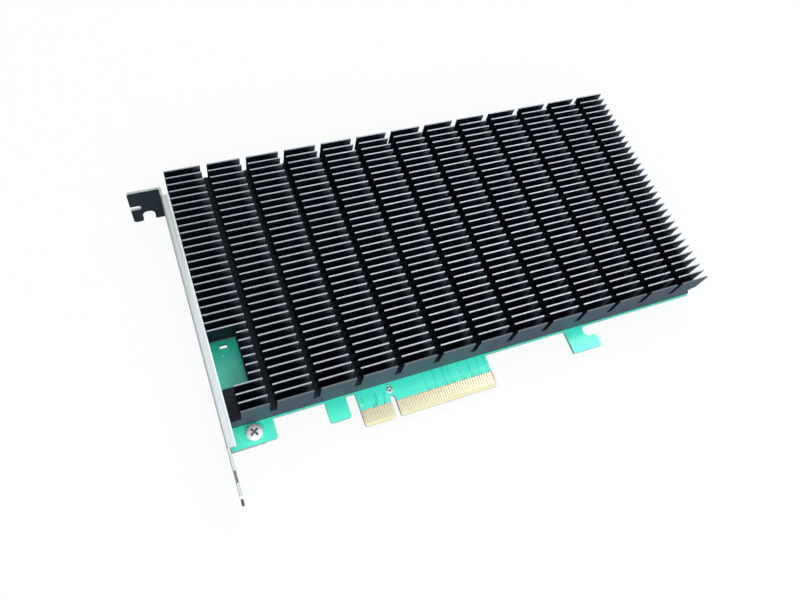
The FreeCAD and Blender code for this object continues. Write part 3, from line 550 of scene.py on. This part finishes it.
SCREW_X = -49.7 * MM
RECESS_REACH = 1.66 * MM
RECESS_BRIM = 1.80 * MM
head = screw_head(2.95 * MM, 1.0 * MM, 2.1 * MM, 3.3 * MM, 0.8 * MM, 1.25 * MM, 70, 160)
shank = screw_thread(1.45 * MM, -4.0 * MM, 0.0, 0.5 * MM, 0.22 * MM, 40)
screws = []
SCREW_YS = (9.45 * MM, 94.0 * MM)
for screw_y, turn in zip(SCREW_YS, (0.62, 0.2)):
    centre = np.array([SCREW_X, screw_y, BOARD_FACE])
    screws += [moved(head, centre, turn), moved(shank, centre)]
bracket_screws = joined("bracket_screws", screws)
# Painted shade: the faces in the cross recess take a dark brownish finish.
recess_painted_shade, tree, shader = finish("recess_painted_shade", Metallic=0.6)
place = put(tree, "ShaderNodeTexCoord").outputs
cloud = put(tree, "ShaderNodeTexNoise", place["Object"], None, 1500.0, 3.0).outputs[0]
tree.links.new(blend(tree, cloud, (0.22, 0.17, 0.15, 1), (0.55, 0.47, 0.45, 1)), shader.inputs["Base Color"])
marks = use(tree, soft_marks, place["Object"], 1500.0, 0.50, 0.16)
tree.links.new(marks[0], shader.inputs["Roughness"])
bright_nickel, tree, shader = finish("bright_nickel", Metallic=0.55)
place = put(tree, "ShaderNodeTexCoord").outputs
cloud = put(tree, "ShaderNodeTexNoise", place["Object"], None, 900.0, 3.0).outputs[0]
tree.links.new(blend(tree, cloud, (0.88, 0.87, 0.88, 1), (0.98, 0.97, 0.98, 1)), shader.inputs["Base Color"])
marks = use(tree, soft_marks, place["Object"], 900.0, 0.44, 0.16)
tree.links.new(marks[0], shader.inputs["Roughness"])
bump = put(tree, "ShaderNodeBump", 0.08, 0.00001, None, marks[1])
tree.links.new(bump.outputs[0], shader.inputs["Normal"])
dress(bracket_screws, bright_nickel, recess_painted_shade)
middles = np.array([face.center for face in bracket_screws.data.polygons])
sunk = np.zeros(len(middles), bool)
for screw_y in SCREW_YS:
    near = np.hypot(middles[:, 0] - SCREW_X, middles[:, 1] - screw_y) < RECESS_REACH
    sunk |= near & (middles[:, 2] > BOARD_FACE) & (middles[:, 2] < BOARD_FACE + RECESS_BRIM)
bracket_screws.data.polygons.foreach_set("material_index", sunk.astype(np.int32))
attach(bracket_screws, "root")
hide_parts("bracket_screw_lower", "bracket_screw_upper")


# ---------------------------------------------------------------- heat sink screws
# Eight black-zinc pan-head screws come from the solder side through the board's rims into the
# heat sink. Only their heads show, four along each long edge.
small_head = screw_head(2.6 * MM, 0.75 * MM, 1.7 * MM, 2.7 * MM, 0.7 * MM, 1.0 * MM, 44, 96)
RIM_ROWS = (15.5, 107.2)
RIM_SPAN = (-40.5, 130.5)
ZINC_DEEP, ZINC_PALE = (0.035, 0.035, 0.04, 1), (0.11, 0.11, 0.12, 1)
rim_screws = []
for place_y in RIM_ROWS:
    for number, place_x in enumerate(np.linspace(*RIM_SPAN, 4)):
        centre = np.array([place_x, place_y, -BOARD_FACE / MM]) * MM
        rim_screws.append(moved(small_head, centre, 0.4 + 0.7 * number, True))
heat_sink_screws = joined("heat_sink_screws", rim_screws)
black_zinc, tree, shader = finish("black_zinc", Metallic=1.0)
place = put(tree, "ShaderNodeTexCoord").outputs
cloud = put(tree, "ShaderNodeTexNoise", place["Object"], None, 1100.0, 3.0).outputs[0]
tree.links.new(blend(tree, cloud, ZINC_DEEP, ZINC_PALE), shader.inputs["Base Color"])
marks = use(tree, soft_marks, place["Object"], 1000.0, 0.36, 0.18)
tree.links.new(marks[0], shader.inputs["Roughness"])
dress(heat_sink_screws, black_zinc)
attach(heat_sink_screws, "root")


# ---------------------------------------------------------------- chip capacitors
# Fired ceramic blocks with tinned ends, soldered to both faces of the board beside the lane
# switch. Those on the solder side are in the open, in two rows.
def cushion_block(centre, size, power, steps):
    """Superellipsoid: each coordinate is half the size times the signed power 2/power of the sphere's
    cosine and sine products, so the block's corners and edges are rounded."""
    around = np.linspace(-np.pi, np.pi, steps, endpoint=False)
    up = np.linspace(-np.pi / 2, np.pi / 2, steps // 2 + 1)[1:-1]

    def soft(value):
        return np.sign(value) * np.abs(value) ** (2 / power)

    x = soft(np.cos(up))[:, None] * soft(np.cos(around))
    y = soft(np.cos(up))[:, None] * soft(np.sin(around))
    z = np.repeat(soft(np.sin(up))[:, None], steps, axis=1)
    grid = np.stack([x, y, z], axis=-1).reshape(-1, 3)
    one = np.concatenate([[[0, 0, -1]], grid, [[0, 0, 1]]]) * np.asarray(size) / 2 + centre
    index = 1 + np.arange(up.size * steps).reshape(-1, steps)
    after = np.roll(index, -1, axis=1)
    band = np.stack([index[:-1], after[:-1], after[1:], index[1:]], axis=-1).reshape(-1, 4)
    first = np.stack([np.zeros(steps, int), after[0], index[0]], axis=-1)
    last = np.stack([np.full(steps, len(one) - 1), index[-1], after[-1]], axis=-1)
    return one, band, np.concatenate([first, last])


CAPACITOR_COLUMNS = (11.9, 15.9)
CAPACITOR_YS = 34.0 + (np.arange(7) - 3) * 3.0
CAPACITOR_Z = -1.235
FIRED_SIZE, END_SIZE = np.array([1.4, 1.18, 0.84]) * MM, np.array([0.48, 1.25, 0.9]) * MM
END_OFFSET = 0.76
bodies, ends = [], []
for place_x in CAPACITOR_COLUMNS:
    for place_y in CAPACITOR_YS:
        middle = np.array([place_x, place_y, CAPACITOR_Z])
        bodies.append(cushion_block(middle * MM, FIRED_SIZE, 12, 32))
        for side in (-1, 1):
            ends.append(cushion_block((middle + [side * END_OFFSET, 0, 0]) * MM, END_SIZE, 10, 32))
underside_capacitors = joined("underside_capacitor_bodies", bodies)
capacitor_ends = joined("underside_capacitor_ends", ends)
fired_ceramic, tree, shader = finish("fired_ceramic")
place = put(tree, "ShaderNodeTexCoord").outputs
cloud = put(tree, "ShaderNodeTexNoise", place["Object"], None, 1200.0, 3.0).outputs[0]
tree.links.new(blend(tree, cloud, (0.34, 0.22, 0.12, 1), (0.48, 0.34, 0.21, 1)), shader.inputs["Base Color"])
marks = use(tree, soft_marks, place["Object"], 1500.0, 0.52, 0.15)
tree.links.new(marks[0], shader.inputs["Roughness"])
dress(underside_capacitors, fired_ceramic)
dress(capacitor_ends, bright_tin)
for piece in (underside_capacitors, capacitor_ends):
    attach(piece, "root")
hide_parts("underside_capacitors")
dress(nodes["ceramic_capacitors"], fired_ceramic)


# ---------------------------------------------------------------- status light
# A white surface-mount light in the heat sink's window: a moulded body with tinned ends and a
# milky lens that stands just proud of it, with a painted glow along its middle and painted green
# shade on its sides.
light_centre = np.array([-51.95, 42.3, 1.185])
light_body = joined("status_light", [
    cushion_block(light_centre * MM, np.array([2.5, 0.95, 0.62]) * MM, 14, 40),
    cushion_block((light_centre + [0, 0, 0.12]) * MM, np.array([1.9, 0.80, 0.55]) * MM, 5, 40),
])
light_ends = joined("status_light_ends", [
    cushion_block((light_centre + [side * 1.22, 0, -0.1]) * MM, np.array([0.56, 0.90, 0.58]) * MM, 10, 32)
    for side in (-1, 1)
])
PAINTED_GLOW_WIDTH = (0.26 * MM, 0.42 * MM)
MILK_DEEP, MILK_PALE = (0.88, 0.90, 0.88, 1), (0.97, 0.97, 0.95, 1)
PAINTED_SHADE_SIDE = (0.16, 0.42, 0.33, 1)
milky_resin, tree, shader = finish(
    "milky_resin", Subsurface_Weight=0.2, Subsurface_Scale=0.0008, Emission_Strength=1.0
)
place = put(tree, "ShaderNodeTexCoord").outputs
axes = put(tree, "ShaderNodeSeparateXYZ", place["Object"]).outputs
across = count(tree, "ABSOLUTE", count(tree, "SUBTRACT", axes[1], light_centre[1] * MM))
# Painted glow: the middle of the body and lens emits white, and the sides away from it are painted a shaded
# green.
painted_glow = put(tree, "ShaderNodeMapRange", across, *PAINTED_GLOW_WIDTH, 1.0, 0.0).outputs[0]
cloud = put(tree, "ShaderNodeTexNoise", place["Object"], None, 2500.0, 2.0).outputs[0]
resin = blend(tree, cloud, MILK_DEEP, MILK_PALE)
tree.links.new(blend(tree, painted_glow, PAINTED_SHADE_SIDE, resin), shader.inputs["Base Color"])
tree.links.new(blend(tree, painted_glow, (0, 0, 0, 1), (1, 1, 1, 1)), shader.inputs["Emission Color"])
marks = use(tree, soft_marks, place["Object"], 2000.0, 0.28, 0.10)
tree.links.new(marks[0], shader.inputs["Roughness"])
dress(light_body, milky_resin)
dress(light_ends, bright_tin)
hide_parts("status_led")
for piece in (light_body, light_ends):
    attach(piece, "root")


# ---------------------------------------------------------------- parts under the heat sink
# The lane switch, its power stages, the sockets and standoffs and the pads sit in the closed pocket.
# Moulded resins are matt with a fine sparkle, metal lids are dull, and the pads are soft silicone.
def moulded(name, low, high, size, rough, metal=0.0):
    """Finish whose colour clouds between two tones, with soft marks in its roughness and a faint bump."""
    made, tree, shader = finish(name, Metallic=metal)
    place = put(tree, "ShaderNodeTexCoord").outputs
    cloud = put(tree, "ShaderNodeTexNoise", place["Object"], None, size, 3.0).outputs[0]
    tree.links.new(blend(tree, cloud, low + (1,), high + (1,)), shader.inputs["Base Color"])
    marks = use(tree, soft_marks, place["Object"], size, rough, 0.15)
    tree.links.new(marks[0], shader.inputs["Roughness"])
    bump = put(tree, "ShaderNodeBump", 0.15, 0.00002, None, marks[1])
    tree.links.new(bump.outputs[0], shader.inputs["Normal"])
    return made


hidden_finishes = {
    moulded("matt_resin", (0.018, 0.018, 0.020), (0.040, 0.040, 0.043), 1500.0, 0.55): (
        "voltage_regulators", "clock_generator", "flash_chip", "bulk_capacitors",
    ),
    moulded("pressed_iron", (0.08, 0.08, 0.085), (0.13, 0.13, 0.135), 1800.0, 0.62): ("inductors",),
    moulded("switch_lid", (0.48, 0.49, 0.50), (0.62, 0.63, 0.64), 600.0, 0.42, 1.0): ("switch_chip",),
    moulded("crystal_can", (0.60, 0.60, 0.58), (0.75, 0.75, 0.73), 1200.0, 0.30, 1.0): ("crystal",),
    moulded("tinned_brass", (0.60, 0.55, 0.42), (0.78, 0.74, 0.62), 900.0, 0.32, 1.0): tuple(
        f"m2_standoff_{n}" for n in (1, 2, 3, 4)
    ),
    moulded("socket_nylon", (0.016, 0.016, 0.018), (0.030, 0.030, 0.032), 1200.0, 0.48): tuple(
        f"m2_socket_{n}" for n in (1, 2, 3, 4)
    ),
    moulded("grey_silicone", (0.40, 0.43, 0.48), (0.52, 0.55, 0.60), 1000.0, 0.75): (
        "switch_thermal_pad", *(f"ssd_thermal_pad_{n}" for n in (1, 2, 3, 4)),
    ),
}
for one, names in hidden_finishes.items():
    for name in names:
        dress(nodes[name], one)


# ---------------------------------------------------------------- studio
# A sweep, pale to the camera, lies under the card inside an even, bright surround that is dimmer
# behind it. One softbox hangs over the far end, one stands in front, and the camera looks down.
FLOOR = -4.0 * MM
FLOOR_GLOW = 0.9
FLOOR_DIM, FLOOR_PALE = (0.36, 0.37, 0.39, 1), (0.86, 0.86, 0.86, 1)
reach = np.array([[-3, -3], [3, -3], [3, 3], [-3, 3]], float)
floor = solid_mesh("floor", [np.column_stack([reach, np.full(4, FLOOR)])], [np.array([[0, 1, 2, 3]])], False)
pale, tree, shader = finish("pale_floor", Roughness=0.9, Specular_IOR_Level=0.1)
seen = put(tree, "ShaderNodeLightPath").outputs
direct = count(tree, "MAXIMUM", seen["Is Camera Ray"], seen["Is Transmission Ray"])
tree.links.new(blend(tree, direct, FLOOR_DIM, FLOOR_PALE), shader.inputs["Base Color"])
glow = put(tree, "ShaderNodeEmission", (1, 1, 1, 1), 1.0)
share = count(tree, "MULTIPLY", direct, FLOOR_GLOW)
mixed = put(tree, "ShaderNodeMixShader", share, shader.outputs[0], glow.outputs[0])
tree.links.new(mixed.outputs[0], tree.nodes["Material Output"].inputs[0])
dress(floor, pale)

BEHIND = (0.36, 0.60)
SURROUND_FRONT, SURROUND_BEHIND = (0.86, 0.94, 0.98, 1), (0.32, 0.335, 0.30, 1)
SURROUND_LEVEL = 0.97
world = bpy.data.worlds.new("surround")
bpy.context.scene.world = world
world.use_nodes = True
tree = world.node_tree
seen = put(tree, "ShaderNodeLightPath").outputs
towards = put(tree, "ShaderNodeSeparateXYZ", put(tree, "ShaderNodeTexCoord").outputs["Generated"]).outputs
behind = put(tree, "ShaderNodeMapRange", towards[1], *BEHIND, 0.0, 1.0).outputs[0]
even = tree.nodes["Background"]
tree.links.new(blend(tree, behind, SURROUND_FRONT, SURROUND_BEHIND), even.inputs[0])
even.inputs[1].default_value = SURROUND_LEVEL
white = put(tree, "ShaderNodeBackground", (1, 1, 1, 1), 1.0)
direct = count(tree, "MAXIMUM", seen["Is Camera Ray"], seen["Is Transmission Ray"])
mixed = put(tree, "ShaderNodeMixShader", direct, even.outputs[0], white.outputs[0])
tree.links.new(mixed.outputs[0], tree.nodes["World Output"].inputs[0])

AIM = Vector((0.03, 0.05, 0))
for name, across, along, watts, stand in (
    ("far_softbox", 0.8, 0.4, 4.0, (0.58, 0.55, 1.05)),
    ("front_softbox", 0.8, 0.6, 6.0, (-0.10, -0.90, 0.70)),
):
    softbox = bpy.data.lights.new(name, "AREA")
    softbox.shape = "RECTANGLE"
    softbox.size, softbox.size_y, softbox.energy = across, along, watts
    softbox_stand = bpy.data.objects.new(name, softbox)
    softbox_stand.location = stand
    softbox_stand.rotation_euler = (AIM - Vector(stand)).to_track_quat("-Z", "Y").to_euler()
    bpy.context.scene.collection.objects.link(softbox_stand)

lens = bpy.data.cameras.new("camera")
lens.lens, lens.sensor_width, lens.clip_start, lens.clip_end = 30.76, 36.0, 0.01, 20.0
camera = bpy.data.objects.new("camera", lens)
camera.matrix_world = Matrix((
    (0.92387, 0.239673, -0.298365, -0.0624),
    (-0.340578, 0.870488, -0.355327, -0.0503),
    (0.17456, 0.429893, 0.885845, 0.2335),
    (0, 0, 0, 1),
))
bpy.context.scene.collection.objects.link(camera)
bpy.context.scene.camera = camera
bpy.context.scene.view_settings.view_transform = "Standard"
